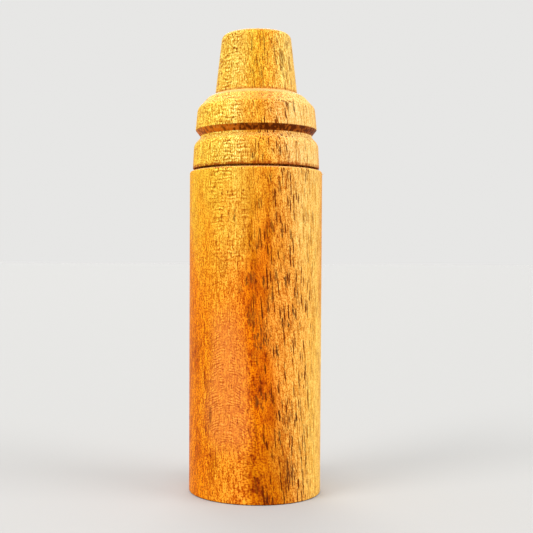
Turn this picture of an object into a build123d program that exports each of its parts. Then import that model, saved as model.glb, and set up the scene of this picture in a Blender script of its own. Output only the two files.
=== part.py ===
# Mouth-blown turkey locator call, turned from one hardwood blank.
#
# The call stands on the bell end of its barrel. A turned head, the mouthpiece, plugs into the
# barrel's socket on two rubber rings. The head's tenon is bored out as the reed chamber, and a
# plastic tone board plugs into it from below, also on two rubber rings. A film reed lies on the
# board's face, with its tail clamped under a cork wedge. Air goes in at the nose, round the reed,
# down the board's trough and out through the barrel.
#
# Millimetres and degrees. The origin is the centre of the bell end, +Z runs up the axis to the
# nose, and the reed faces -Y.

from build123d import *
from math import radians, tan
import os

INCH = 25.4

# ---- Drills: the bores are stock sizes ----
bell_bore_r = 3 / 4 * INCH / 2
socket_r = 7 / 8 * INCH / 2
chamber_r = 5 / 8 * INCH / 2
blow_hole_r = 3 / 8 * INCH / 2
drill_point_angle = 118.0

# ---- Heights above the bell end ----
barrel_top = 73.3
tenon_end = 46.0
chamber_top = 86.0
call_top = 104.75

# ---- Barrel: a tube with a very slight taper ----
barrel_foot_r = 15.06
barrel_rim_r = 15.19
foot_round = 0.35
rim_round = 0.65
bell_round = 1.5
socket_lead = 0.5

# ---- Running fits ----
tenon_play = 0.07
board_play = 0.07
ring_play = 0.03

# ---- Mouthpiece: the turned head, as (radius, height, rounding) at each corner ----
seam_height = 0.5
shoulder_r = 13.2
head_corners = [
    (14.5, barrel_top + seam_height, 0.15),  # foot of the band, above the seam
    (14.26, 79.31, 2.4),  # top of the band's side
    (12.8, 80.9, 0.35),  # bottom of the lanyard groove, lower corner
    (12.8, 81.35, 0.35),  # bottom of the lanyard groove, upper corner
    (13.9, 82.75, 0.3),  # lower edge of the bead
    (13.45, 87.56, 2.0),  # top of the bead's side
    (11.04, 90.15, 2.0),  # from the bead's slope to its shelf
    (9.4, 90.92, 0.5),  # foot of the nose
    (7.82, call_top, 1.5),  # rim of the nose
    (blow_hole_r, call_top, 0.6),  # mouth of the blow hole
]
tenon_lead = 0.6
chamber_lead = 0.4

# ---- Rubber rings: section diameter, groove width and the height of each ring ----
tenon_ring_section = 1.72
tenon_groove_width = 2.2
tenon_ring_heights = {"tenon_ring_lower": 52.0, "tenon_ring_upper": 66.5}
board_ring_section = 1.5
board_groove_width = 1.9
board_ring_heights = {"board_ring_lower": 48.2, "board_ring_upper": 51.2}
groove_corner = 0.15

# ---- Tone board ----
flange_r = 8.8
flange_thickness = 1.5
flange_clearance = 0.5
flange_round = 0.3
base_top = 59.0
base_edge_round = 0.3
board_r = 5.4
board_top = 85.0
bed_y = -0.8
exhaust_r = 3.3
exhaust_top = 52.0
trough_width = 4.4
trough_floor_y = 3.6
trough_start = 51.0
trough_end = 81.0
facet_angle = 2.3
tip_relief_height = 5.0
tip_relief_depth = 2.2
tip_round = 0.4

# ---- Reed and wedge ----
reed_width = 9.5
reed_thickness = 0.25
reed_tail_end = 53.3
reed_pivot = 62.5
reed_tip = 84.6
reed_tip_round = 2.0
reed_split = 0.03
pocket_width = 9.7
pocket_floor = 53.0
wedge_width = 9.2
wedge_thin = 3.3
wedge_slope = 5.6
wedge_round = 0.35

# ---- Worked out from the sizes above ----
tenon_r = socket_r - tenon_play
base_r = chamber_r - board_play
flange_bottom = tenon_end - flange_thickness
socket_floor = flange_bottom - flange_clearance
drill_point_rise = (chamber_r - blow_hole_r) / tan(radians(drill_point_angle / 2))
tenon_groove_r = socket_r - tenon_ring_section - 2 * ring_play
board_groove_r = chamber_r - board_ring_section - 2 * ring_play
reed_face_y = bed_y - reed_thickness
wedge_rise = tan(radians(wedge_slope))


def turned(corners):
    """Spin a closed half outline about the axis. Each corner is (radius, height, rounding)."""
    with BuildSketch(Plane.XZ) as half_outline:
        with BuildLine():
            FilletPolyline(
                [(radius, height) for radius, height, rounding in corners],
                radius=[rounding for radius, height, rounding in corners],
                close=True,
            )
        make_face()
    revolve(half_outline.sketch, axis=Axis.Z)


def ring_grooves(wall_r, groove_r, width, heights):
    """Corners of the rectangular grooves cut into a wall of one radius, from the lowest up."""
    corners = []
    for height in sorted(heights):
        low = height - width / 2
        high = height + width / 2
        corners.append((wall_r, low, 0))
        corners.append((groove_r, low, groove_corner))
        corners.append((groove_r, high, groove_corner))
        corners.append((wall_r, high, 0))
    return corners


def rubber_ring(outer_r, section, height):
    """An O-ring of one section diameter, whose outside has the given radius."""
    with Locations((0, 0, height)):
        Torus(outer_r - section / 2, section / 2)


def save(name, piece):
    """Label one finished piece and write it."""
    piece.label = name
    export_step(piece, f"parts/{name}.step")


os.makedirs("parts", exist_ok=True)

# ---- Barrel: bell bore from below, socket from above, softened edges ----
with BuildPart() as barrel:
    turned(
        [
            (bell_bore_r, 0, bell_round),
            (barrel_foot_r, 0, foot_round),
            (barrel_rim_r, barrel_top, rim_round),
            (socket_r + socket_lead, barrel_top, 0),
            (socket_r, barrel_top - socket_lead, 0),
            (socket_r, socket_floor, 0),
            (bell_bore_r, socket_floor, 0),
        ]
    )
save("barrel", barrel.part)

# ---- Mouthpiece: tenon, bearing shoulder, band, lanyard groove, bead, nose, and its bores ----
tenon_corners = [
    (chamber_r + chamber_lead, tenon_end, 0),
    (tenon_r - tenon_lead, tenon_end, 0),
    (tenon_r, tenon_end + tenon_lead, 0),
    *ring_grooves(tenon_r, tenon_groove_r, tenon_groove_width, tenon_ring_heights.values()),
    (tenon_r, barrel_top, 0),
    (shoulder_r, barrel_top, 0),
    (shoulder_r, barrel_top + seam_height, 0),
]
bore_corners = [
    (blow_hole_r, chamber_top + drill_point_rise, 0),
    (chamber_r, chamber_top, 0),
    (chamber_r, tenon_end + chamber_lead, 0),
]
with BuildPart() as mouthpiece:
    turned(tenon_corners + head_corners + bore_corners)
save("mouthpiece", mouthpiece.part)

# ---- Rubber rings on the tenon ----
for name, height in tenon_ring_heights.items():
    with BuildPart() as tenon_ring:
        rubber_ring(socket_r - ring_play, tenon_ring_section, height)
    save(name, tenon_ring.part)

# ---- Tone board: flanged plug, half-round board, trough, wedge pocket and sloping face ----
with BuildPart() as tone_board:
    turned(
        [
            (exhaust_r, flange_bottom, flange_round),
            (flange_r, flange_bottom, flange_round),
            (flange_r, tenon_end, 0),
            (base_r, tenon_end, 0),
            *ring_grooves(base_r, board_groove_r, board_groove_width, board_ring_heights.values()),
            (base_r, base_top, base_edge_round),
            (0, base_top, 0),
            (0, exhaust_top, 0),
            (exhaust_r, exhaust_top, 0),
        ]
    )
    # the half-round board, flat side towards the reed
    with BuildSketch(Plane.XY.offset(base_top)):
        Circle(board_r)
        with Locations((0, bed_y - board_r)):
            Rectangle(2 * board_r, 2 * board_r, mode=Mode.SUBTRACT)
    extrude(amount=board_top - base_top)
    # the pocket that holds the reed's tail and the wedge, with a roof that slopes open
    pocket_roof = reed_face_y - wedge_thin + (reed_tail_end - pocket_floor) * wedge_rise
    pocket_mouth = pocket_roof - (base_top - pocket_floor) * wedge_rise
    with BuildSketch(Plane.YZ):
        with BuildLine():
            Polyline(
                (bed_y, pocket_floor),
                (pocket_roof, pocket_floor),
                (pocket_mouth, base_top),
                (bed_y, base_top),
                close=True,
            )
        make_face()
    extrude(amount=pocket_width / 2, both=True, mode=Mode.SUBTRACT)
    # the round-bottomed trough, from the exhaust bore to a lip short of the tip
    trough_centre_y = trough_floor_y - trough_width / 2
    with BuildSketch(Plane.XY.offset(trough_start)):
        with Locations((0, trough_centre_y)):
            Circle(trough_width / 2)
        with Locations((0, (bed_y + trough_centre_y) / 2)):
            Rectangle(trough_width, trough_centre_y - bed_y)
    extrude(amount=trough_end - trough_start, mode=Mode.SUBTRACT)
    # the face that the reed closes on falls away from the wedge to the tip
    facet_drop = (board_top - reed_pivot) * tan(radians(facet_angle))
    with BuildSketch(Plane.YZ):
        with BuildLine():
            Polyline(
                (bed_y, reed_pivot),
                (bed_y, board_top),
                (bed_y + facet_drop, board_top),
                close=True,
            )
        make_face()
    extrude(amount=board_r, both=True, mode=Mode.SUBTRACT)
    # the back of the tip is cut away so that air gets round it
    with BuildSketch(Plane.YZ):
        with BuildLine():
            Polyline(
                (board_r, board_top - tip_relief_height),
                (board_r, board_top),
                (board_r - tip_relief_depth, board_top),
                close=True,
            )
        make_face()
    extrude(amount=board_r, both=True, mode=Mode.SUBTRACT)
    tip_edges = tone_board.edges().group_by(Axis.Z)[-1]
    fillet(tip_edges.sort_by(Axis.Y)[1:], tip_round)
save("tone_board", tone_board.part)

# ---- Rubber rings on the tone board's base ----
for name, height in board_ring_heights.items():
    with BuildPart() as board_ring:
        rubber_ring(chamber_r - ring_play, board_ring_section, height)
    save(name, board_ring.part)

# ---- Reed: one film strip, in two pieces that meet at the wedge's front edge ----
with BuildPart() as reed_tail:
    with BuildSketch(Plane.XZ.offset(-bed_y)):
        with Locations((0, (reed_tail_end + reed_pivot) / 2)):
            Rectangle(reed_width, reed_pivot - reed_tail_end)
    extrude(amount=reed_thickness)
save("reed_tail", reed_tail.part)

with BuildPart() as reed_blade:
    blade_foot = reed_pivot + reed_split
    with BuildSketch(Plane.XZ.offset(-bed_y)) as blade_outline:
        with Locations((0, (blade_foot + reed_tip) / 2)):
            Rectangle(reed_width, reed_tip - blade_foot)
        fillet(blade_outline.vertices().group_by(Axis.Z)[-1], reed_tip_round)
    extrude(amount=reed_thickness)
save("reed_blade", reed_blade.part)

# ---- Cork wedge: thin end in the pocket, thick end over the start of the board ----
wedge_thick = wedge_thin + (reed_pivot - reed_tail_end) * wedge_rise
with BuildPart() as reed_wedge:
    with BuildSketch(Plane.YZ):
        with BuildLine():
            Polyline(
                (reed_face_y, reed_tail_end),
                (reed_face_y - wedge_thin, reed_tail_end),
                (reed_face_y - wedge_thick, reed_pivot),
                (reed_face_y, reed_pivot),
                close=True,
            )
        make_face()
    extrude(amount=wedge_width / 2, both=True)
    fillet(reed_wedge.faces().sort_by(Axis.Z)[-1].edges().sort_by(Axis.Y)[0], wedge_round)
save("reed_wedge", reed_wedge.part)
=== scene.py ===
"""Looks of the turned wooden locator call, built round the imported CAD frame.

Lengths are metres in the mesh sections, and millimetres inside the materials and in the wood's figure.
"""

import math
import random

import bmesh
import bpy
from mathutils import Matrix, Vector, noise


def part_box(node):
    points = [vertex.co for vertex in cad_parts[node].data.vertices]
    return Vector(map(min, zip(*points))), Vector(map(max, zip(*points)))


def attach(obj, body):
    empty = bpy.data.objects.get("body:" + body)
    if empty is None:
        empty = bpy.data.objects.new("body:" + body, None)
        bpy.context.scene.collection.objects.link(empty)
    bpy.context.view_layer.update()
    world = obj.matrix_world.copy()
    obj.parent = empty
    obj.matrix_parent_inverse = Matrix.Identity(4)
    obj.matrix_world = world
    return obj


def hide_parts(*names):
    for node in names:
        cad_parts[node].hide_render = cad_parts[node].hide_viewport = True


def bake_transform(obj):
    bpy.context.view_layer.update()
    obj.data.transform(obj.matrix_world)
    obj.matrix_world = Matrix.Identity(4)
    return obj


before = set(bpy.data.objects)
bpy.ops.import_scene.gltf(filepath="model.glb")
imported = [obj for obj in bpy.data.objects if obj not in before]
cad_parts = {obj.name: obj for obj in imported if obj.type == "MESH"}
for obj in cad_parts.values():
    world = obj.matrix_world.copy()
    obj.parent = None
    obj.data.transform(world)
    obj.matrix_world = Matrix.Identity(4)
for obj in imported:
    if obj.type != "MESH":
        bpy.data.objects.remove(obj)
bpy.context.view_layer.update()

MM = 0.001
TURN = 2 * math.pi


def add_object(name, data):
    """Makes an object of this data and puts it in the scene."""
    made = bpy.data.objects.new(name, data)
    bpy.context.scene.collection.objects.link(made)
    return made


def make_piece(name, build, material):
    """Makes an object of a worked mesh, in this material."""
    mesh = bpy.data.meshes.new(name)
    build.to_mesh(mesh)
    build.free()
    mesh.materials.append(material)
    return add_object(name, mesh)


# ---------------------------------------------------------------- camera, light and stage

SENSOR_WIDTH = 36.0
LENS = 66.35
CAMERA_PLACE = Vector((-9.72, -226.4, 52.75)) * MM
CAMERA_TILT_DOWN = math.radians(0.33)
CAMERA_ROLL = math.radians(0.26)
CAMERA_SHIFT_X = 0.1

SKY_TONE = (1.0, 0.995, 0.98, 1.0)
SKY_STRENGTH = 0.80
SUNS = {
    "key": dict(azimuth=-52, elevation=36, strength=1.42, angle=28),
    "side": dict(azimuth=66, elevation=30, strength=1.45, angle=40),
    "back": dict(azimuth=185, elevation=38, strength=1.10, angle=40),
    "top": dict(azimuth=-10, elevation=80, strength=1.00, angle=16),
}
FLOOR_SIZE = 40.0
FLOOR_TONE = (0.428, 0.426, 0.419, 1.0)


def make_camera():
    camera = add_object("camera", bpy.data.cameras.new("camera"))
    camera.data.sensor_width = SENSOR_WIDTH
    camera.data.lens = LENS
    camera.data.shift_x = CAMERA_SHIFT_X
    camera.data.clip_start = 0.01
    camera.data.clip_end = 20.0
    level = Matrix.Rotation(math.radians(90) - CAMERA_TILT_DOWN, 4, "X")
    roll = Matrix.Rotation(CAMERA_ROLL, 4, "Z")
    camera.matrix_world = Matrix.Translation(CAMERA_PLACE) @ level @ roll
    bpy.context.scene.camera = camera


def make_sun(name, azimuth, elevation, strength, angle):
    """A soft, distant light. Azimuth 0 is on the camera's side and 90 on the +X side."""
    sun = add_object(name, bpy.data.lights.new(name, "SUN"))
    sun.data.energy = strength
    sun.data.angle = math.radians(angle)
    turn = math.radians(azimuth)
    lift = math.radians(elevation)
    from_there = Vector((math.sin(turn) * math.cos(lift), -math.cos(turn) * math.cos(lift), math.sin(lift)))
    sun.rotation_euler = from_there.to_track_quat("Z", "Y").to_euler()


def make_sky():
    world = bpy.data.worlds.new("studio")
    world.use_nodes = True
    background = world.node_tree.nodes["Background"]
    background.inputs["Color"].default_value = SKY_TONE
    background.inputs["Strength"].default_value = SKY_STRENGTH
    bpy.context.scene.world = world
    bpy.context.scene.view_settings.view_transform = "Standard"


def make_floor():
    bpy.ops.mesh.primitive_plane_add(size=FLOOR_SIZE)
    floor = bpy.context.object
    floor.name = "floor"
    paper = Graph("paper")
    paper.set(Base_Color=FLOOR_TONE, Roughness=0.9, Specular_IOR_Level=0.1)
    floor.data.materials.append(paper.material)


# ---------------------------------------------------------------- material building


class Graph:
    """One material's nodes, with a short call for each kind of step."""

    def __init__(self, name):
        self.material = bpy.data.materials.new(name)
        self.material.use_nodes = True
        self.tree = self.material.node_tree
        self.shader = self.tree.nodes["Principled BSDF"]

    def add(self, kind, inputs, **settings):
        made = self.tree.nodes.new(kind)
        for name, value in settings.items():
            setattr(made, name, value)
        for name, value in inputs.items():
            self.feed(made.inputs[name], value)
        return made

    def feed(self, socket, value):
        if isinstance(value, bpy.types.NodeSocket):
            self.tree.links.new(value, socket)
        else:
            socket.default_value = value

    def set(self, **inputs):
        """Feeds the shader's own sockets; an underscore in a name stands for a space."""
        for name, value in inputs.items():
            self.feed(self.shader.inputs[name.replace("_", " ")], value)

    def millimetres(self):
        """The place on the object, in its own rest frame, in millimetres."""
        place = self.add("ShaderNodeTexCoord", {}).outputs["Object"]
        return self.add("ShaderNodeVectorMath", {0: place, "Scale": 1 / MM}, operation="SCALE").outputs[0]

    def split(self, vector):
        parts = self.add("ShaderNodeSeparateXYZ", {0: vector}).outputs
        return parts[0], parts[1], parts[2]

    def join(self, x, y, z):
        return self.add("ShaderNodeCombineXYZ", {0: x, 1: y, 2: z}).outputs[0]

    def stretched(self, vector, across, along):
        """Cells of this width across the grain and this length along it become one unit."""
        size = (1 / across, 1 / across, 1 / along)
        return self.add("ShaderNodeVectorMath", {0: vector, 1: size}, operation="MULTIPLY").outputs[0]

    def math(self, operation, a, b=0.0, c=0.0):
        return self.add("ShaderNodeMath", {0: a, 1: b, 2: c}, operation=operation).outputs[0]

    def product(self, first, *others):
        for other in others:
            first = self.math("MULTIPLY", first, other)
        return first

    def largest(self, first, *others):
        for other in others:
            first = self.math("MAXIMUM", first, other)
        return first

    def fade(self, value, start, end, low=0.0, high=1.0):
        """Goes smoothly from low at start to high at end."""
        inputs = {"Value": value, "From Min": start, "From Max": end, "To Min": low, "To Max": high}
        return self.add("ShaderNodeMapRange", inputs, interpolation_type="SMOOTHSTEP").outputs[0]

    def noise(self, place, scale=1.0, detail=2.0, roughness=0.5):
        inputs = {"Vector": place, "Scale": scale, "Detail": detail, "Roughness": roughness}
        return self.add("ShaderNodeTexNoise", inputs).outputs["Fac"]

    def cells(self, place, feature="F1", output="Distance"):
        inputs = {"Vector": place, "Scale": 1.0}
        return self.add("ShaderNodeTexVoronoi", inputs, feature=feature).outputs[output]

    def mix(self, share, a, b, blend="MIX"):
        made = self.add("ShaderNodeMix", {}, data_type="RGBA", blend_type=blend)
        self.feed(made.inputs[0], share)
        self.feed(made.inputs[6], a)
        self.feed(made.inputs[7], b)
        return made.outputs[2]

    def ramp(self, value, stops):
        made = self.add("ShaderNodeValToRGB", {0: value})
        elements = made.color_ramp.elements
        while len(elements) < len(stops):
            elements.new(0.5)
        for element, (place, colour) in zip(elements, stops):
            element.position = place
            element.color = colour
        return made.outputs[0]

    def bump(self, height, distance, strength=1.0):
        inputs = {"Height": height, "Distance": distance, "Strength": strength}
        self.set(Normal=self.add("ShaderNodeBump", inputs).outputs[0])


def tone(red, green, blue):
    """A colour given as screen values from 0 to 255, as the linear colour that a shader takes."""
    linear = []
    for value in (red, green, blue):
        share = value / 255
        linear.append(share / 12.92 if share <= 0.04045 else ((share + 0.055) / 1.055) ** 2.4)
    return (*linear, 1.0)


# ---------------------------------------------------------------- hardwood: its figure, in mm

BLANK_RADIUS = 15.2
NOSE_RADIUS = 8.6
GRAIN_LEAN = 0.085
LEAN_CENTRE = 50.0
BAR_PITCH = 0.85
SCALE_PITCH = 0.62
SCALE_CENTRE = -6.5
SCALE_BOW = 0.10

# The board's layers, from the -X side to the +X side, at the top and at the foot of the blank. The pale
# layers towards the +X side are partly the wood's paler tone and partly a painted sheen.
LAYER_PLACES = (0.06, 0.19, 0.31, 0.44, 0.56, 0.69, 0.81, 0.93, 1.0)
UPPER_LAYERS = (
    (249, 184, 38), (250, 198, 62), (250, 198, 74), (244, 169, 46),
    (242, 160, 36), (244, 170, 66), (250, 194, 100), (252, 204, 108), (240, 174, 74),
)
LOWER_LAYERS = (
    (244, 138, 2), (250, 156, 32), (250, 152, 38), (234, 122, 2),
    (230, 122, 8), (245, 166, 64), (250, 184, 82), (252, 202, 94), (238, 168, 66),
)

# The nose is thinner, and its layers are spread over its own smaller width.
NOSE_LAYERS = (
    (250, 206, 80), (250, 212, 94), (250, 202, 84), (248, 194, 60),
    (246, 180, 48), (246, 184, 66), (250, 208, 102), (248, 206, 108), (244, 198, 98),
)

# Where a feature starts, is full, still holds and has ended. A layer is its distance from the middle one.
HEART_LAYERS = (-6.0, -1.5, 2.0, 6.0)
LADDER_LAYERS = (-11.5, -9.5, -4.5, -2.0)
SCALE_LAYERS = (-12.0, -8.5, -5.5, -2.0)
SCALE_HEIGHTS = (8.0, 16.0, 36.0, 46.0)
EMBER_HEIGHTS = (1.0, 9.0, 28.0, 44.0)
# These five bound painted shade: in the seam's recess, along the head's edge beside it, in the groove and at
# the nose's foot.
SEAM_SHADE_HEIGHTS = (73.05, 73.3, 73.8, 73.9)
SEAM_SHADE_RADII = (12.7, 13.4, 14.3, 14.75)
SEAM_EDGE_SHADE_HEIGHTS = (73.7, 73.8, 74.05, 74.7)
GROOVE_SHADE_HEIGHTS = (81.15, 81.40, 82.62, 82.78)
NOSE_FOOT_SHADE_HEIGHTS = (90.75, 90.95, 91.05, 91.6)

# Where a feature that has only one edge starts and where it is full, or where one thins out.
UPPER_HEIGHTS = (40.0, 74.0)
HEART_HEIGHTS = (74.0, 56.0)
PALE_HEIGHTS = (73.6, 75.0)
NOSE_HEIGHTS = (86.0, 94.0)
EMBER_LAYERS = (-6.5, -11.0)
DEEP_FOOT_HEIGHTS = (26.0, 6.0)
LADDER_HEIGHTS = (42.0, 62.0)
LOW_LEFT_HEIGHTS = (62.0, 40.0)
SPECKLED_HEIGHTS = (72.0, 76.0)
FEWER_STREAKS_HEIGHTS = (82.0, 92.0)
# Where the painted highlight on faces that look up begins.
UPWARD_HIGHLIGHT_HEIGHTS = (72.2, 72.6)
FRONT_DEPTHS = (-2.0, -5.0)
# These five bound painted shade: beside the seam, in the groove, at the nose's foot and round the barrel's
# foot.
SEAM_EDGE_SHADE_RADII = (14.0, 14.2)
GROOVE_SHADE_RADII = (13.94, 13.80)
NOSE_FOOT_SHADE_RADII = (9.75, 9.5)
FOOT_SHADE_HEIGHTS = (0.30, 0.05)
FOOT_SHADE_RADII = (14.55, 14.95)

# Noise patches: their width across the grain and their length along it.
DRIFT_PATCH = (9.0, 26.0)
HEIGHT_PATCH = (5.0, 14.0)
FIGURE_PATCH = (2.6, 7.0)
GRIT_PATCH = (0.34, 1.5)
GROWTH_PATCH = (0.48, 26.0)
FIBRE_PATCH = (0.24, 2.2)
FLECK_PATCH = (0.21, 0.34)
RAGGED_PATCH = (0.22, 0.9)
WANDER_PATCH = (1.9, 1.1)
LADDER_PATCH = (2.2, 5.5)
BAR_PATCH = (2.2, 0.55)
SCALE_PATCH = (1.6, 2.8)
CROWD_PATCH = (2.2, 7.0)
STAIN_PATCH = (0.42, 2.2)
STREAK_PATCH = (0.7, 3.0)

# Slits: the width and the length of the cell that each one fills, and its half width as a share of that.
LONG_SLITS = (0.66, 11.0, 0.28)
SHORT_SLITS = (0.66, 5.4, 0.29)
SMALL_SLITS = (0.42, 2.6, 0.27)
HAIR_SLITS = (0.50, 15.0, 0.25)
TICK_SLITS = (0.58, 1.25, 0.30)
OTHER_CELLS = (31.7, 12.3, 57.1)

# What a feature multiplies the wood's red, green and blue by.
PALE_HEAD = (1.03, 1.17, 1.80)
DEEP_FIGURE = (0.77, 0.61, 0.12)
GRITTY_FIGURE = (0.50, 0.34, 0.24)
DEEP_FOOT = (0.82, 0.90, 0.50)
GROWTH_LINE = (0.77, 0.63, 0.36)
DARK_FIBRE = (0.70, 0.48, 0.20)
PALE_FIBRE = (1.08, 1.24, 1.55)
DARK_FLECK = (0.63, 0.42, 0.14)
PALE_FLECK = (1.14, 1.36, 1.80)
PALE_BAR = (1.14, 1.40, 2.0)
DARK_BAR = (0.70, 0.47, 0.22)
DARK_TICK = (0.40, 0.20, 0.06)
PALE_SCALE = (1.12, 1.26, 1.6)
DARK_SCALE = (0.68, 0.50, 0.36)
SMALL_VESSEL = (0.34, 0.13, 0.03)
HAIR_VESSEL = (0.44, 0.26, 0.16)

# Tones that a feature has of its own, and those of the painted shade and the painted highlight.
ROSY_TONE = (238, 138, 66)
VESSEL_TONE = (96, 28, 0)
MARK_TONE = (74, 30, 10)
STAIN_TONE = (104, 50, 14)
UPWARD_HIGHLIGHT_TONE = (252, 192, 132)
GROOVE_SHADE_TONE = (220, 112, 10)
GROOVE_DEEP_SHADE_TONE = (84, 30, 0)
SEAM_EDGE_AND_NOSE_FOOT_SHADE_TONE = (152, 64, 10)
FOOT_SHADE_TONE = (72, 26, 0)
SEAM_SHADE_TONE = (128, 54, 10)

# Single vessels and stained patches of the front: (x, z, half width, half length, darkness).
WIDEST_VESSEL = 0.5
MARKS = (
    (-1.3, 48.7, 1.0, 1.5, 0.55), (-4.1, 46.4, 0.9, 1.2, 0.40), (3.8, 60.2, 0.5, 1.7, 0.60),
    (5.9, 59.3, 0.35, 1.7, 0.75), (7.8, 58.6, 0.35, 1.6, 0.75), (0.1, 55.8, 0.45, 0.9, 0.60),
    (-1.6, 55.8, 0.3, 1.3, 0.65), (5.9, 48.7, 0.4, 2.1, 0.75), (-1.3, 40.5, 1.8, 2.2, 0.55),
    (0.0, 36.1, 1.5, 2.8, 0.90), (2.75, 32.9, 0.4, 2.1, 0.90), (4.5, 39.4, 0.35, 1.7, 0.85),
    (5.7, 38.9, 0.4, 1.1, 0.85), (-1.8, 32.6, 0.6, 1.0, 0.45), (-1.5, 22.6, 0.8, 1.8, 0.80),
    (0.3, 24.0, 0.9, 1.0, 0.40), (2.2, 19.6, 0.3, 1.0, 0.75), (3.8, 17.8, 1.3, 2.0, 0.75),
    (1.75, 14.5, 0.35, 1.7, 0.90), (3.5, 7.0, 1.2, 3.0, 0.90), (-10.2, 18.6, 0.3, 2.7, 0.50),
    (5.8, 18.3, 0.3, 1.4, 0.75), (7.0, 20.5, 0.25, 3.6, 0.55), (-2.0, 1.2, 0.3, 1.2, 0.80),
    (-0.8, 1.0, 0.25, 1.0, 0.75), (1.8, 0.8, 0.25, 1.4, 0.70), (-0.3, 75.4, 0.3, 1.0, 0.85),
    (-5.2, 62.3, 0.3, 1.5, 0.65), (1.0, 65.1, 0.25, 1.6, 0.70), (6.2, 69.0, 0.3, 1.7, 0.65),
    (4.3, 70.5, 0.3, 1.4, 0.65), (1.0, 48.3, 0.3, 1.4, 0.80), (-2.6, 48.3, 0.3, 1.1, 0.65),
    (3.8, 49.4, 0.35, 2.3, 0.70), (2.7, 45.2, 0.35, 1.9, 0.75), (1.5, 42.4, 0.35, 1.7, 0.75),
    (7.1, 41.7, 0.35, 2.1, 0.75), (8.2, 45.2, 0.6, 2.6, 0.50), (0.8, 100.8, 0.25, 2.8, 0.60),
    (5.3, 100.5, 0.25, 3.2, 0.65), (9.4, 96.8, 0.22, 3.4, 0.65), (10.9, 87.0, 0.25, 1.9, 0.75),
    (9.6, 86.6, 0.22, 1.3, 0.65), (3.9, 95.0, 0.22, 1.6, 0.60), (6.9, 77.0, 0.28, 1.6, 0.70),
    (6.3, 8.0, 0.22, 5.0, 0.65), (7.4, 12.0, 0.22, 6.5, 0.60), (9.0, 24.0, 0.20, 8.0, 0.50),
)


def wood_colour_stops(layers):
    return [(place, tone(*layer)) for place, layer in zip(LAYER_PLACES, layers)]


# ---------------------------------------------------------------- hardwood: its material


class Wood(Graph):
    """The hardwood's graph, with the grain, the layers and the noises that its features share.

    grain is the place with an x that leans outward going down on the +X side. layer is how far the
    layer of the board that a point is in lies from the middle one, which drifts slowly up the call.
    """

    def __init__(self):
        super().__init__("hardwood")
        self.place = self.millimetres()
        self.x, self.y, self.z = self.split(self.place)
        drift = self.fade(self.patches(self.place, DRIFT_PATCH, detail=1.0), 0.25, 0.75, -1.6, 1.6)
        slope = self.fade(self.x, -6.0, 3.0, 0.0, GRAIN_LEAN)
        lean = self.product(slope, self.math("SUBTRACT", self.z, LEAN_CENTRE))
        self.grain = self.join(self.math("ADD", self.x, lean), self.y, self.z)
        self.layer = self.math("ADD", self.math("ADD", self.x, drift), self.product(lean, 0.5))
        heart = self.band(self.layer, HEART_LAYERS)
        self.heart = self.product(heart, self.fade(self.z, *HEART_HEIGHTS, 0.3, 1.0))
        self.fibre = self.patches(self.grain, FIBRE_PATCH, roughness=0.6)
        self.fleck = self.patches(self.grain, FLECK_PATCH, detail=0.0)
        self.ragged = self.patches(self.grain, RAGGED_PATCH, detail=1.0)
        self.wander = self.patches(self.place, WANDER_PATCH, detail=1.0)

    def patches(self, vector, patch, detail=2.0, roughness=0.5):
        """Noise whose patches have this width across the grain and this length along it."""
        return self.noise(self.stretched(vector, *patch), detail=detail, roughness=roughness)

    def band(self, value, limits):
        """1 between the two middle limits, fading to 0 at the outer ones."""
        start, full, hold, end = limits
        return self.product(self.fade(value, start, full), self.fade(value, end, hold))

    def shaded(self, colour, share, factors):
        """Multiplies the colour by the three factors where share is 1, and leaves it where share is 0."""
        return self.mix(share, colour, (*factors, 1.0), "MULTIPLY")

    def ripples(self, value, pitch, unrest):
        """A wave from -1 to 1 along the value, one for each pitch, which noise pushes about."""
        phase = self.math("MULTIPLY_ADD", value, TURN / pitch, self.product(self.wander, unrest))
        return self.math("SINE", phase)

    def slits(self, vector, kind, ragged):
        """Narrow slits along the grain, one in each cell, 1 inside and 0 outside."""
        across, along, size = kind
        uneven = self.fade(ragged, 0.3, 0.7, -0.04, 0.04)
        reach = self.math("ADD", self.cells(self.stretched(vector, across, along)), uneven)
        return self.fade(reach, size, 0.7 * size)


def ground_colour(w):
    """The colour of the board's layers, which changes up the call and again on the nose. Their paleness
    towards the +X side is partly a painted sheen.
    """
    across = w.math("MULTIPLY_ADD", w.layer, 0.5 / BLANK_RADIUS, 0.5)
    uneven = w.fade(w.patches(w.place, HEIGHT_PATCH), 0.2, 0.8, -9.0, 9.0)
    upper = w.ramp(across, wood_colour_stops(UPPER_LAYERS))
    lower = w.ramp(across, wood_colour_stops(LOWER_LAYERS))
    colour = w.mix(w.fade(w.math("ADD", w.z, uneven), *UPPER_HEIGHTS), lower, upper)
    pale = w.product(w.fade(w.z, *PALE_HEIGHTS), w.fade(w.layer, 2.0, 9.0, 1.0, 0.5))
    colour = w.shaded(colour, pale, PALE_HEAD)
    across_nose = w.math("MULTIPLY_ADD", w.x, 0.5 / NOSE_RADIUS, 0.5)
    nose = w.ramp(across_nose, wood_colour_stops(NOSE_LAYERS))
    return w.mix(w.fade(w.z, *NOSE_HEIGHTS), colour, nose)


def with_figure(w, colour):
    """Deeper figure in broken patches down the middle, most of all at the foot, and low on the -X side."""
    ember = w.product(w.fade(w.layer, *EMBER_LAYERS), w.band(w.z, EMBER_HEIGHTS))
    broken = w.fade(w.patches(w.grain, FIGURE_PATCH, detail=3.0, roughness=0.6), 0.45, 0.58)
    figured = w.product(broken, w.largest(w.heart, ember))
    grit = w.fade(w.patches(w.grain, GRIT_PATCH), 0.55, 0.64)
    colour = w.shaded(colour, figured, DEEP_FIGURE)
    colour = w.shaded(colour, w.product(figured, grit), GRITTY_FIGURE)
    return w.shaded(colour, w.product(w.heart, w.fade(w.z, *DEEP_FOOT_HEIGHTS)), DEEP_FOOT)


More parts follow.
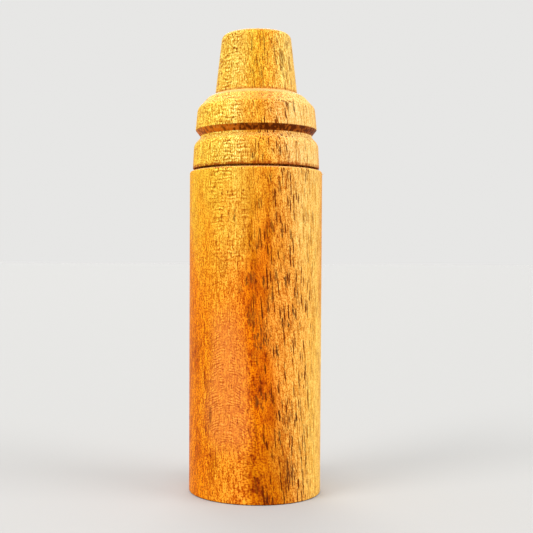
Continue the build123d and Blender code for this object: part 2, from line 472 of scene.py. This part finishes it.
def with_growth_lines(w, colour):
    """Long fine lines along the grain, clearer on the +X side."""
    lines = w.fade(w.patches(w.grain, GROWTH_PATCH), 0.50, 0.62)
    return w.shaded(colour, w.product(lines, w.fade(w.layer, 3.0, 9.0, 0.25, 0.75)), GROWTH_LINE)


def with_fibres(w, colour):
    """Dense short fibres and flecks, strongest low on the -X side and on the head, calm on the +X side."""
    calm = w.math("SUBTRACT", w.fade(w.layer, 5.0, 11.0, 1.0, 0.58), w.product(w.heart, 0.15))
    low_left = w.product(w.fade(w.layer, 1.0, -4.0), w.fade(w.z, *LOW_LEFT_HEIGHTS, -0.15, 0.5))
    speckled = w.product(w.fade(w.z, *SPECKLED_HEIGHTS, 0.0, 0.45), w.fade(w.layer, 8.0, 4.0))
    busy = w.math("ADD", w.math("ADD", calm, low_left), speckled)
    for value, start, end, factors in (
        (w.fibre, 0.49, 0.63, DARK_FIBRE),
        (w.fibre, 0.46, 0.32, PALE_FIBRE),
        (w.fleck, 0.51, 0.68, DARK_FLECK),
        (w.fleck, 0.46, 0.28, PALE_FLECK),
    ):
        colour = w.shaded(colour, w.product(w.fade(value, start, end), busy), factors)
    return colour


def with_ladder_marks(w, colour):
    """Short pale and dark bars across the grain high on the -X side, with dark ticks between them."""
    patchy = w.fade(w.patches(w.place, LADDER_PATCH, detail=1.0), 0.43, 0.54)
    zone = w.product(w.band(w.layer, LADDER_LAYERS), patchy, w.fade(w.z, *LADDER_HEIGHTS))
    broken = w.fade(w.patches(w.place, BAR_PATCH, detail=0.0), 0.34, 0.50)
    bars = w.product(w.ripples(w.z, BAR_PITCH, 9.0), broken)
    ticks = w.slits(w.place, TICK_SLITS, w.fleck)
    colour = w.shaded(colour, w.product(zone, w.fade(bars, 0.35, 0.9)), PALE_BAR)
    colour = w.shaded(colour, w.product(zone, w.fade(bars, -0.1, -0.8)), DARK_BAR)
    return w.shaded(colour, w.product(zone, ticks), DARK_TICK)


def with_fish_scales(w, colour):
    """Bowed ripples low on the -X side, over a rosier ground."""
    rosy = w.product(w.band(w.layer, SCALE_LAYERS), w.band(w.z, SCALE_HEIGHTS))
    colour = w.mix(w.product(rosy, 0.42), colour, tone(*ROSY_TONE))
    off_centre = w.math("SUBTRACT", w.x, SCALE_CENTRE)
    bow = w.product(w.math("POWER", off_centre, 2.0), SCALE_BOW)
    scales = w.ripples(w.math("ADD", w.z, bow), SCALE_PITCH, 14.0)
    zone = w.product(rosy, w.fade(w.patches(w.place, SCALE_PATCH, detail=1.0), 0.44, 0.55))
    colour = w.shaded(colour, w.product(zone, w.fade(scales, 0.3, 0.9)), PALE_SCALE)
    return w.shaded(colour, w.product(zone, w.fade(scales, -0.2, -0.9)), DARK_SCALE)


def with_vessels(w, colour):
    """Dark slits along the grain: long, short, small and hair-thin. Gives the large and small ones too."""
    other_grain = w.add("ShaderNodeVectorMath", {0: w.grain, 1: OTHER_CELLS}, operation="ADD").outputs[0]
    crowd = w.patches(w.grain, CROWD_PATCH, detail=1.0)
    long = w.slits(w.grain, LONG_SLITS, w.ragged)
    short = w.slits(other_grain, SHORT_SLITS, w.ragged)
    small = w.slits(other_grain, SMALL_SLITS, w.ragged)
    hair = w.slits(w.grain, HAIR_SLITS, w.ragged)

    from_middle = w.fade(w.layer, -4.0, 1.5, 0.12, 1.0)
    to_edge = w.fade(w.layer, 13.5, 9.5, 0.15, 1.0)
    streaks = w.product(from_middle, to_edge, w.fade(w.z, *FEWER_STREAKS_HEIGHTS, 1.0, 0.7))
    large = w.product(w.largest(long, short), streaks, w.fade(crowd, 0.36, 0.46))
    fewer_on_left = w.largest(w.fade(w.layer, -8.0, 0.0, 0.75, 1.0), w.fade(w.z, *SPECKLED_HEIGHTS))
    fewer_on_right = w.fade(w.layer, 14.0, 9.0, 0.40, 1.0)
    small = w.product(small, w.fade(crowd, 0.60, 0.42, 0.25, 0.7), fewer_on_left, fewer_on_right)

    colour = w.shaded(colour, small, SMALL_VESSEL)
    colour = w.shaded(colour, w.product(hair, w.fade(w.layer, 1.0, 8.0, 0.0, 0.85)), HAIR_VESSEL)
    return w.mix(w.product(large, 0.95), colour, tone(*VESSEL_TONE)), large, small


def with_marks(w, colour):
    """The listed marks of the front: narrow ones as vessels, which it gives too, wide ones as stains."""
    wander = w.fade(w.ragged, 0.3, 0.7, -0.5, 0.5)
    vessels = 0.0
    stains = 0.0
    for x, z, half_width, half_length, darkness in MARKS:
        at = w.add("ShaderNodeVectorMath", {0: w.grain, 1: (x, 0, z)}, operation="SUBTRACT").outputs[0]
        size = (1 / half_width, 0, 1 / half_length)
        scaled = w.add("ShaderNodeVectorMath", {0: at, 1: size}, operation="MULTIPLY").outputs[0]
        reach = w.add("ShaderNodeVectorMath", {0: scaled}, operation="LENGTH").outputs["Value"]
        reach = w.math("ADD", reach, wander)
        if half_width <= WIDEST_VESSEL:
            vessels = w.largest(vessels, w.fade(reach, 1.1, 0.3, 0.0, darkness))
        else:
            stains = w.largest(stains, w.fade(reach, 1.4, 0.3, 0.0, darkness))
    front = w.fade(w.y, *FRONT_DEPTHS)
    broken = w.fade(w.patches(w.grain, STAIN_PATCH), 0.42, 0.56, 0.15, 1.0)
    vessels = w.product(vessels, front)
    colour = w.mix(w.product(stains, front, broken), colour, tone(*STAIN_TONE))
    return w.mix(vessels, colour, tone(*MARK_TONE)), vessels


def with_upward_highlight(w, colour):
    """Faces that look up, from the barrel's rim upward, are painted paler and pinker: a painted highlight
    from the light overhead.
    """
    facing = w.split(w.add("ShaderNodeNewGeometry", {}).outputs["True Normal"])[2]
    upward_highlight = w.product(w.fade(facing, 0.58, 0.93, 0.0, 0.80), w.fade(w.z, *UPWARD_HIGHLIGHT_HEIGHTS))
    upward_highlight = w.product(upward_highlight, w.fade(w.fibre, 0.36, 0.60, 1.0, 0.45))
    return w.mix(upward_highlight, colour, tone(*UPWARD_HIGHLIGHT_TONE))


def with_painted_shade(w, colour):
    """Painted shade in the lanyard groove, most on the +X side, in the seam's recess, along the head's edge
    beside it, and at the nose's and barrel's feet.
    """
    radius = w.math("SQRT", w.math("ADD", w.product(w.x, w.x), w.product(w.y, w.y)))
    streaky = w.patches(w.place, STREAK_PATCH)

    # Painted shade on the lanyard groove's upper flank, which faces down: orange on the -X side, deepening
    # to dark brown on the +X side.
    groove_shade = w.product(w.band(w.z, GROOVE_SHADE_HEIGHTS), w.fade(radius, *GROOVE_SHADE_RADII))
    groove_deep_shade = w.math("ADD", w.fade(w.x, -11.0, 2.0, 0.36, 0.95), w.fade(streaky, 0.38, 0.62, -0.35, 0.30))
    groove_deep_shade = w.product(groove_shade, w.math("MINIMUM", w.largest(groove_deep_shade, 0.0), 0.96))
    colour = w.mix(w.product(groove_shade, 0.9), colour, tone(*GROOVE_SHADE_TONE))
    colour = w.mix(groove_deep_shade, colour, tone(*GROOVE_DEEP_SHADE_TONE))

    # Painted shade along the head's lower edge beside the seam, broken by streaks, and where the nose meets
    # the shelf below it.
    seam_edge_shade = w.product(w.band(w.z, SEAM_EDGE_SHADE_HEIGHTS), w.fade(radius, *SEAM_EDGE_SHADE_RADII))
    seam_edge_shade = w.product(seam_edge_shade, w.fade(streaky, 0.35, 0.62, 0.20, 0.90))
    nose_foot_shade = w.product(w.band(w.z, NOSE_FOOT_SHADE_HEIGHTS), w.fade(radius, *NOSE_FOOT_SHADE_RADII, 0.0, 0.55))
    colour = w.mix(w.largest(seam_edge_shade, nose_foot_shade), colour, tone(*SEAM_EDGE_AND_NOSE_FOOT_SHADE_TONE))

    # Painted contact shadow: a dark line round the barrel's foot, where it stands on the floor.
    foot = w.product(w.fade(w.z, *FOOT_SHADE_HEIGHTS, 0.0, 0.75), w.fade(radius, *FOOT_SHADE_RADII))
    colour = w.mix(foot, colour, tone(*FOOT_SHADE_TONE))

    # Painted shade in the recess of the seam between the barrel and the head, broken by streaks.
    seam = w.product(w.band(w.z, SEAM_SHADE_HEIGHTS), w.band(radius, SEAM_SHADE_RADII))
    seam = w.product(seam, w.fade(streaky, 0.35, 0.6, 0.95, 0.55))
    return w.mix(seam, colour, tone(*SEAM_SHADE_TONE))


def make_hardwood():
    """Figured golden hardwood, oiled to a satin. It is one solid, so bores and ends show the same layers."""
    w = Wood()
    colour = ground_colour(w)
    for feature in (with_figure, with_growth_lines, with_fibres, with_ladder_marks, with_fish_scales):
        colour = feature(w, colour)
    colour, large, small = with_vessels(w, colour)
    colour, marks = with_marks(w, colour)
    colour = with_upward_highlight(w, colour)
    colour = with_painted_shade(w, colour)

    pores = w.largest(large, marks, w.product(small, 0.6))
    w.bump(w.math("SUBTRACT", w.product(w.fibre, 0.35), pores), 0.06 * MM, 0.7)
    w.set(Base_Color=colour, Roughness=w.fade(pores, 0.0, 1.0, 0.46, 0.8), Specular_IOR_Level=0.04)
    return w.material


# ---------------------------------------------------------------- turned pieces

SHARP_EDGE = math.radians(50)
TURNED_SEGMENTS = 320
BARREL_STEP = 0.45 * MM
MOUTHPIECE_STEP = 0.40 * MM
NOISE_PER_METRE = 400

BARREL_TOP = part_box("barrel")[1].z
HEAD_FOOT = BARREL_TOP + 0.5 * MM
GROOVE_TOP = 82.75 * MM

# Further out than these radii is past the bores, or in the skin that wavers and chips.
BARREL_BORE_LIMIT = 13.0 * MM
BARREL_SKIN = 14.0 * MM
NOSE_BORE_LIMIT = 6.0 * MM
HEAD_SKIN = 13.9 * MM
BEAD_SKIN = 13.6 * MM

# How far the turned outsides run out of true, and how their edges have chipped.
WAVER = 0.012 * MM
WAVER_CYCLES = 9
WEAR_CYCLES = 130
WEAR_RARITY = 0.18
RIM_WEAR = dict(edge=BARREL_TOP - 0.3 * MM, reach=0.7 * MM, depth=0.12 * MM, seed=8.0)
FOOT_WEAR = dict(edge=0.1 * MM, reach=0.5 * MM, depth=0.10 * MM, seed=21.0)
BEAD_WEAR = dict(edge=GROOVE_TOP, reach=0.35 * MM, depth=0.22 * MM, seed=31.0)
HEAD_EDGE_REACH = 0.3 * MM
HEAD_EDGE_LIFT = 0.16 * MM
HEAD_EDGE_DRAW = 0.4
HEAD_EDGE_CHIPS = dict(cycles=150, seed=12.0, rarity=0.1)


def half_outline(node):
    """The closed half outline of a turned CAD node, as (radius, height) points in order.

    It is read where the node's mesh crosses the +X half plane. A flat ring face has no edge there,
    so its two corners are joined because they share a height.
    """
    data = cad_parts[node].data
    near = 0.1e-6
    here = {}
    for vertex in data.vertices:
        if abs(vertex.co.y) < near and vertex.co.x > 0:
            here[vertex.index] = (round(vertex.co.x, 7), round(vertex.co.z, 7))
    links = {point: set() for point in here.values()}
    for edge in data.edges:
        a, b = (here.get(i) for i in edge.vertices)
        if a and b and a != b:
            links[a].add(b)
            links[b].add(a)
    ends = [point for point, joined in links.items() if len(joined) == 1]
    while ends:
        end = ends.pop()
        partner = min(ends, key=lambda point: (abs(point[1] - end[1]), abs(point[0] - end[0])))
        ends.remove(partner)
        links[end].add(partner)
        links[partner].add(end)
    start = max(links, key=lambda point: point[1])
    outline = [start]
    before = None
    while True:
        ahead = [point for point in links[outline[-1]] if point != before]
        step = ahead[0]
        if step == start:
            return outline
        before = outline[-1]
        outline.append(step)


def divided(outline, step, is_seen):
    """The same outline with no run longer than step where is_seen says, and three steps elsewhere."""
    dense = []
    for a, b in zip(outline, outline[1:] + outline[:1]):
        run = math.dist(a, b)
        longest = step if is_seen(a, b) else 3 * step
        parts = max(1, math.ceil(run / longest))
        for i in range(parts):
            t = i / parts
            dense.append((a[0] + (b[0] - a[0]) * t, a[1] + (b[1] - a[1]) * t))
    return dense


def lathe(name, outline, segments, shape):
    """Turns a closed outline round Z.

    shape(radius, height, angle) gives each point's final radius and height.
    """
    mesh = bpy.data.meshes.new(name)
    points = []
    for radius, height in outline:
        for i in range(segments):
            angle = TURN * i / segments
            r, z = shape(radius, height, angle)
            points.append((r * math.cos(angle), r * math.sin(angle), z))
    faces = []
    rows = len(outline)
    for row in range(rows):
        above = (row + 1) % rows
        for i in range(segments):
            beside = (i + 1) % segments
            faces.append((
                row * segments + i, row * segments + beside,
                above * segments + beside, above * segments + i,
            ))
    mesh.from_pydata(points, [], faces)
    mesh.update()
    build = bmesh.new()
    build.from_mesh(mesh)
    bmesh.ops.recalc_face_normals(build, faces=build.faces)
    for edge in build.edges:
        edge.smooth = edge.calc_face_angle(0.0) < SHARP_EDGE
    build.to_mesh(mesh)
    build.free()
    for face in mesh.polygons:
        face.use_smooth = True
    return add_object(name, mesh)


def ring_noise(angle, height, cycles, seed):
    """Smooth noise round the piece, from -1 to 1."""
    reach = cycles / TURN
    climb = height * NOISE_PER_METRE + seed
    return noise.noise(Vector((reach * math.cos(angle), reach * math.sin(angle), climb)))


def nick(angle, height, cycles, seed, rarity):
    """Zero nearly everywhere, rising to 1 in short stretches where an edge has chipped."""
    return max(0.0, ring_noise(angle, height, cycles, seed) - rarity) / (1.0 - rarity)


def edge_wear(height, angle, edge, reach, depth, seed):
    """How far a chipped edge draws back at this height."""
    near = max(0.0, 1.0 - abs(height - edge) / reach)
    return near * depth * nick(angle, edge, WEAR_CYCLES, seed, WEAR_RARITY)


def barrel_shape(radius, height, angle):
    """A slightly wavering wall, with chips at its rim and round its foot."""
    if radius <= BARREL_SKIN:
        return radius, height
    waver = WAVER * ring_noise(angle, height, WAVER_CYCLES, seed=3.0)
    rim = edge_wear(height, angle, **RIM_WEAR)
    foot = edge_wear(height, angle, **FOOT_WEAR)
    return radius + waver - rim - foot, height


def mouthpiece_shape(radius, height, angle):
    """A slightly wavering head and nose, with chips above the groove and along the head's lower edge."""
    if height <= HEAD_FOOT - 0.05 * MM or radius <= NOSE_BORE_LIMIT:
        return radius, height
    waver = WAVER * ring_noise(angle, height, WAVER_CYCLES, seed=5.0)
    lift = 0.0
    if radius > HEAD_SKIN and height < HEAD_FOOT + HEAD_EDGE_REACH:
        lift = HEAD_EDGE_LIFT * nick(angle, 0.0, **HEAD_EDGE_CHIPS)
    bead = edge_wear(height, angle, **BEAD_WEAR) if radius > BEAD_SKIN else 0.0
    return radius + waver - bead - lift * HEAD_EDGE_DRAW, height + lift


def barrel_side(a, b):
    return min(a[0], b[0]) > BARREL_BORE_LIMIT


def head_side(a, b):
    return min(a[1], b[1]) > HEAD_FOOT - 0.1 * MM and min(a[0], b[0]) > NOSE_BORE_LIMIT


def make_turned(name, step, shape, is_seen, material, body):
    """A wooden piece turned from the outline of the CAD node of this name."""
    outline = divided(half_outline(name), step, is_seen)
    piece = lathe("turned_" + name, outline, TURNED_SEGMENTS, shape)
    piece.data.materials.append(material)
    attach(piece, body)
    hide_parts(name)


# ---------------------------------------------------------------- fibres at the seam

FIBRE_COUNT = 46
FIBRE_SEED = 7
FIBRE_STEPS = 6
FIBRE_SIDES = 3
SPLINTER_AZIMUTH = math.radians(-8)
SPLINTER_LENGTH = 0.75 * MM
SPLINTER_THICKNESS = 0.22 * MM


def add_fibre(build, root, heading, length, thickness, curl):
    """A thin tapered fibre of three sides, which bends from its root towards curl."""
    rings = []
    side = heading.cross(Vector((0.3, 0.2, 1.0))).normalized()
    for i in range(FIBRE_STEPS + 1):
        t = i / FIBRE_STEPS
        centre = root + heading * (length * t) + curl * (length * t * t)
        reach = 0.5 * thickness * (1.0 - 0.85 * t)
        other = heading.cross(side)
        ring = []
        for k in range(FIBRE_SIDES):
            turn = TURN * k / FIBRE_SIDES
            ring.append(build.verts.new(centre + reach * (side * math.cos(turn) + other * math.sin(turn))))
        rings.append(ring)
    for low, high in zip(rings, rings[1:]):
        for k in range(FIBRE_SIDES):
            after = (k + 1) % FIBRE_SIDES
            build.faces.new((low[k], low[after], high[after], high[k]))
    build.faces.new(list(reversed(rings[0])))
    build.faces.new(rings[-1])


def make_fibres(material):
    """The torn fibres that the lathe tool leaves round the barrel's rim, and one longer splinter."""
    chance = random.Random(FIBRE_SEED)
    build = bmesh.new()
    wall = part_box("barrel")[1].x
    for _ in range(FIBRE_COUNT):
        angle = chance.uniform(0, TURN)
        out = Vector((math.cos(angle), math.sin(angle), 0))
        along = Vector((-math.sin(angle), math.cos(angle), 0)) * chance.uniform(-1, 1)
        root = out * (wall - 0.55 * MM) + Vector((0, 0, BARREL_TOP - 0.05 * MM))
        heading = (out * chance.uniform(0.0, 0.5) + along + Vector((0, 0, 0.5))).normalized()
        curl = out * chance.uniform(-0.2, 0.3)
        length = chance.uniform(0.2, 0.5) * MM
        thickness = chance.uniform(0.04, 0.09) * MM
        add_fibre(build, root, heading, length, thickness, curl)
    out = Vector((math.cos(SPLINTER_AZIMUTH), math.sin(SPLINTER_AZIMUTH), 0))
    root = out * (wall - 0.25 * MM) + Vector((0, 0, BARREL_TOP - 0.75 * MM))
    add_fibre(build, root, out, SPLINTER_LENGTH, SPLINTER_THICKNESS, Vector((0, 0, 0.35)))
    piece = make_piece("rim_fibres", build, material)
    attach(piece, "barrel")


def make_fibre_material():
    g = Graph("pale_fibre")
    strand = g.noise(g.stretched(g.millimetres(), 0.05, 0.05), detail=2.0)
    g.set(Base_Color=g.mix(g.fade(strand, 0.4, 0.6), tone(232, 178, 104), tone(250, 218, 156)))
    g.set(Roughness=0.7)
    g.bump(strand, 0.01 * MM)
    return g.material


# ---------------------------------------------------------------- rubber rings

RING_SEGMENTS = 220
RING_POINTS = 56
RING_WAVER = 0.006 * MM
RING_WAVER_CYCLES = 20
FLASH_HEIGHT = 0.02 * MM
FLASH_WIDTH = math.radians(9)
PARTINGS = (math.radians(55), math.radians(235))
RUBBER_TONES = ((0.010, 0.010, 0.011, 1), (0.020, 0.020, 0.021, 1))
RUBBER_DUST_TONE = (0.16, 0.13, 0.10, 1)


def ring_outline(node):
    """A round section with the two low ridges that the mould's halves leave on it."""
    low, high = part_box(node)
    section = (high.z - low.z) / 2
    middle_radius = high.x - section
    middle_height = (low.z + high.z) / 2
    outline = []
    for i in range(RING_POINTS):
        turn = TURN * i / RING_POINTS
        ridge = 0.0
        for parting in PARTINGS:
            off = abs((turn - parting + math.pi) % TURN - math.pi)
            ridge = max(ridge, 1.0 - off / FLASH_WIDTH)
        reach = section - FLASH_HEIGHT * (1.0 - ridge)
        outline.append((middle_radius + reach * math.cos(turn), middle_height + reach * math.sin(turn)))
    return outline


def ring_shape(radius, height, angle):
    """A ring that is a little uneven all round."""
    return radius + RING_WAVER * ring_noise(angle, height, RING_WAVER_CYCLES, seed=40.0), height


def make_rubber():
    """Black rubber, finely pitted, with a little dust on it."""
    g = Graph("ring_rubber")
    place = g.millimetres()
    pitted = g.noise(place, 9.0, detail=3.0, roughness=0.65)
    dust = g.fade(g.noise(place, 1.3, detail=4.0, roughness=0.7), 0.50, 0.70)
    colour = g.mix(g.fade(pitted, 0.35, 0.65), *RUBBER_TONES)
    colour = g.mix(g.product(dust, 0.35), colour, RUBBER_DUST_TONE)
    dull = g.fade(g.math("ADD", pitted, g.product(dust, 0.5)), 0.3, 0.9, 0.42, 0.72)
    g.set(Base_Color=colour, Roughness=dull, Specular_IOR_Level=0.3)
    g.bump(pitted, 0.01 * MM, 0.7)
    return g.material


def make_rings(material):
    for node, body in (
        ("tenon_ring_lower", "tenon_rings"), ("tenon_ring_upper", "tenon_rings"),
        ("board_ring_lower", "board_rings"), ("board_ring_upper", "board_rings"),
    ):
        piece = lathe("moulded_" + node, ring_outline(node), RING_SEGMENTS, ring_shape)
        piece.data.materials.append(material)
        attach(piece, body)
        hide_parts(node)


# ---------------------------------------------------------------- tone board

TOOL_LINES_PER_MM = 9.0
ACRYLIC_TONES = ((0.012, 0.012, 0.014, 1), (0.030, 0.029, 0.030, 1))
LINT_TONE = (0.30, 0.27, 0.23, 1)


def make_acrylic():
    """Black cast acrylic, turned and milled, with fine tool lines across it, scuffs and a little lint."""
    g = Graph("tone_board_acrylic")
    place = g.millimetres()
    x, y, z = g.split(place)
    climb = g.join(g.product(x, 0.02), g.product(y, 0.02), g.product(z, TOOL_LINES_PER_MM))
    tool_lines = g.noise(climb, detail=2.0)
    scuffs = g.noise(place, 2.2, detail=4.0, roughness=0.7)
    lint = g.fade(g.noise(place, 5.0, detail=3.0), 0.60, 0.72)
    colour = g.mix(g.fade(scuffs, 0.4, 0.7), *ACRYLIC_TONES)
    colour = g.mix(g.product(lint, 0.25), colour, LINT_TONE)
    dull = g.fade(g.math("ADD", tool_lines, scuffs), 0.8, 1.25, 0.16, 0.42)
    g.set(Base_Color=colour, Roughness=dull, Specular_IOR_Level=0.32)
    g.bump(g.math("ADD", tool_lines, g.product(scuffs, 0.4)), 0.012 * MM, 0.6)
    return g.material


# ---------------------------------------------------------------- reed

REED_TIP_ROUND = 2.0 * MM
REED_BEVEL = 0.03 * MM
REED_CORNER = math.radians(40)
REED_ROWS = 90
REED_TIP_ROWS = 12
REED_COLUMNS = 24
SCRATCHES_PER_MM = 14.0
FILM_TONES = ((0.62, 0.68, 0.70, 1), (0.80, 0.84, 0.84, 1))


def make_film():
    """Clear polyester film sanded to a haze, with fine scratches across it."""
    g = Graph("reed_film")
    place = g.millimetres()
    x, y, z = g.split(place)
    haze = g.noise(place, 3.0, detail=4.0, roughness=0.7)
    scratches = g.noise(g.join(g.product(x, 0.6), y, g.product(z, SCRATCHES_PER_MM)), detail=2.0)
    colour = g.mix(g.fade(haze, 0.35, 0.65), *FILM_TONES)
    dull = g.fade(g.math("ADD", haze, scratches), 0.8, 1.2, 0.18, 0.5)
    g.set(Base_Color=colour, Roughness=dull, Alpha=0.72, IOR=1.57)
    g.bump(scratches, 0.006 * MM, 0.5)
    return g.material


def make_reed(material):
    """One strip of film from the wedge to the tip."""
    low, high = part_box("reed_tail")
    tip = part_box("reed_blade")[1].z
    straight = tip - REED_TIP_ROUND - low.z
    heights = [low.z + straight * i / REED_ROWS for i in range(REED_ROWS + 1)]
    for i in range(1, REED_TIP_ROWS + 1):
        heights.append(tip - REED_TIP_ROUND * (1 - math.sin(math.pi / 2 * i / REED_TIP_ROWS)))
    build = bmesh.new()
    sections = []
    for z in heights:
        into_round = max(0.0, z - (tip - REED_TIP_ROUND))
        drawn_in = REED_TIP_ROUND - math.sqrt(max(0.0, REED_TIP_ROUND ** 2 - into_round ** 2))
        reach = high.x - drawn_in
        corners = [(reach * (2 * i / REED_COLUMNS - 1), low.y) for i in range(REED_COLUMNS + 1)]
        corners += [(x, high.y) for x, _ in reversed(corners)]
        sections.append([build.verts.new((x, y, z)) for x, y in corners])
    for lower, upper in zip(sections, sections[1:]):
        for k in range(len(lower)):
            after = (k + 1) % len(lower)
            build.faces.new((lower[k], lower[after], upper[after], upper[k]))
    build.faces.new(list(reversed(sections[0])))
    build.faces.new(sections[-1])
    bmesh.ops.recalc_face_normals(build, faces=build.faces)
    sharp = [edge for edge in build.edges if edge.calc_face_angle(0.0) > REED_CORNER]
    bmesh.ops.bevel(build, geom=sharp, offset=REED_BEVEL, segments=2, affect="EDGES", clamp_overlap=True)
    for face in build.faces:
        face.smooth = True
    piece = make_piece("reed", build, material)
    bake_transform(piece)
    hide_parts("reed_tail", "reed_blade")


# ---------------------------------------------------------------- cork wedge

CORK_CELL = 0.30 * MM
CORK_PIT = 0.10 * MM
CORK_ROUNDS = 7
PITS_PER_METRE = 2600
FINE_PITS_PER_METRE = 6100
GRANULE = 0.9


def make_cork():
    """Pressed cork: granules in two browns, with darker joints and pores."""
    g = Graph("wedge_cork")
    place = g.millimetres()
    granules = g.stretched(place, GRANULE, GRANULE)
    tint = g.split(g.cells(granules, output="Color"))[0]
    edges = g.fade(g.cells(granules, "DISTANCE_TO_EDGE"), 0.09, 0.02)
    pores = g.fade(g.noise(place, 4.0, detail=3.0), 0.60, 0.70)
    colour = g.mix(tint, tone(206, 158, 104), tone(168, 112, 64))
    colour = g.mix(g.product(edges, 0.7), colour, tone(112, 66, 34))
    g.set(Base_Color=g.mix(pores, colour, tone(70, 40, 22)), Roughness=0.85, Specular_IOR_Level=0.2)
    g.bump(g.math("ADD", edges, pores), -0.05 * MM, 0.8)
    return g.material


def make_wedge(material):
    """The cork wedge with its torn pits, made from the CAD wedge's own faces."""
    build = bmesh.new()
    build.from_mesh(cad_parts["reed_wedge"].data)
    bmesh.ops.remove_doubles(build, verts=build.verts, dist=1e-6)
    bmesh.ops.dissolve_limit(build, angle_limit=math.radians(1), verts=build.verts, edges=build.edges)
    bmesh.ops.triangulate(build, faces=build.faces)
    for _ in range(CORK_ROUNDS):
        long_edges = [edge for edge in build.edges if edge.calc_length() > CORK_CELL]
        if not long_edges:
            break
        bmesh.ops.subdivide_edges(build, edges=long_edges, cuts=1)
        bmesh.ops.triangulate(build, faces=build.faces)
    build.normal_update()
    inward = {}
    for vertex in build.verts:
        coarse = noise.noise(vertex.co * PITS_PER_METRE)
        fine = noise.noise(vertex.co * FINE_PITS_PER_METRE)
        inward[vertex] = CORK_PIT * max(0.0, coarse + 0.5 * fine)
    for vertex, depth in inward.items():
        vertex.co -= vertex.normal * depth
    piece = make_piece("cork_wedge", build, material)
    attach(piece, "tone_board")
    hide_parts("reed_wedge")


# ---------------------------------------------------------------- main

make_camera()
make_sky()
for sun_name, sun_settings in SUNS.items():
    make_sun(sun_name, **sun_settings)
make_floor()

hardwood = make_hardwood()
make_turned("barrel", BARREL_STEP, barrel_shape, barrel_side, hardwood, "barrel")
make_turned("mouthpiece", MOUTHPIECE_STEP, mouthpiece_shape, head_side, hardwood, "mouthpiece")
make_fibres(make_fibre_material())
make_rings(make_rubber())
make_reed(make_film())
make_wedge(make_cork())

tone_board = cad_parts["tone_board"]
tone_board.data.materials.clear()
tone_board.data.materials.append(make_acrylic())
